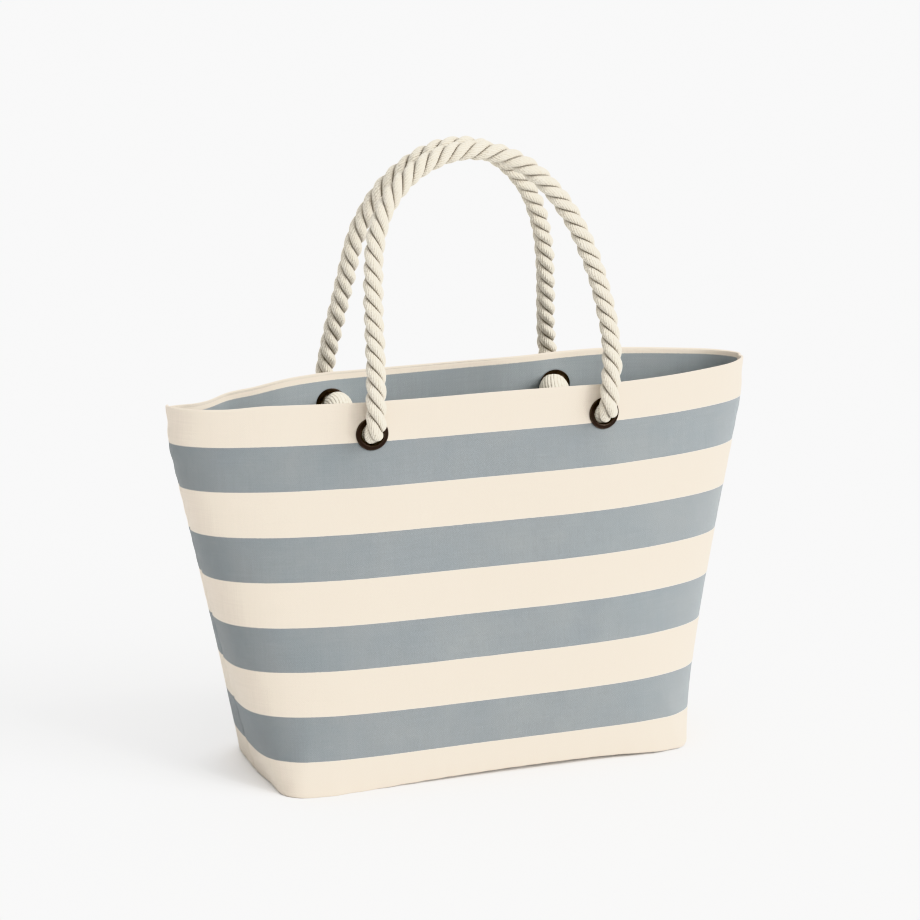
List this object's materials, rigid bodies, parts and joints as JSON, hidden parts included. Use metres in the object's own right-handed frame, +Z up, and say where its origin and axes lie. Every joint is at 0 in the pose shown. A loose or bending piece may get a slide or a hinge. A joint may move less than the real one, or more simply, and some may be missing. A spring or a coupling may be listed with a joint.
{
  "type": "beach bag",
  "caption": "Soft striped canvas beach tote, wide at the mouth and flat at the base, with rope handles knotted through metal eyelets.",
  "frame": {"origin": "middle of the base, on the surface that the bag stands on", "axes": "+X to the right along the mouth, -Y out of the front panel, +Z up"},
  "size_m": [0.54, 0.1622, 0.5435],
  "materials": {
    "striped_canvas": "plain woven cotton canvas in cream and blue-grey stripes",
    "base_canvas": "plain woven cream canvas",
    "binding_tape": "cream twill tape",
    "antique_metal": "dark antique plating, polished on its edges",
    "cotton_rope": "three-strand twisted natural cotton"
  },
  "bodies": {
    "bag": {"front_panel": "striped_canvas", "back_panel": "striped_canvas", "base_panel": "base_canvas", "base_seam_binding": "binding_tape", "left_seam_binding": "binding_tape", "right_seam_binding": "binding_tape", "front_left_eyelet": "antique_metal", "front_left_washer": "antique_metal", "front_left_knot": "cotton_rope", "front_right_eyelet": "antique_metal", "front_right_washer": "antique_metal", "front_right_knot": "cotton_rope", "back_left_eyelet": "antique_metal", "back_left_washer": "antique_metal", "back_left_knot": "cotton_rope", "back_right_eyelet": "antique_metal", "back_right_washer": "antique_metal", "back_right_knot": "cotton_rope"},
    "front_handle": {"front_handle": "cotton_rope"},
    "back_handle": {"back_handle": "cotton_rope"}
  },
  "joints": [
    {"name": "front_handle_swing", "type": "hinge", "parent": "bag", "child": "front_handle", "pos_m": [0, -0.06789, 0.308], "axis": [1, 0, 0], "range_deg": [0, 165]},
    {"name": "back_handle_swing", "type": "hinge", "parent": "bag", "child": "back_handle", "pos_m": [0, 0.06775, 0.308], "axis": [-1, 0, 0], "range_deg": [0, 165]}
  ]
}
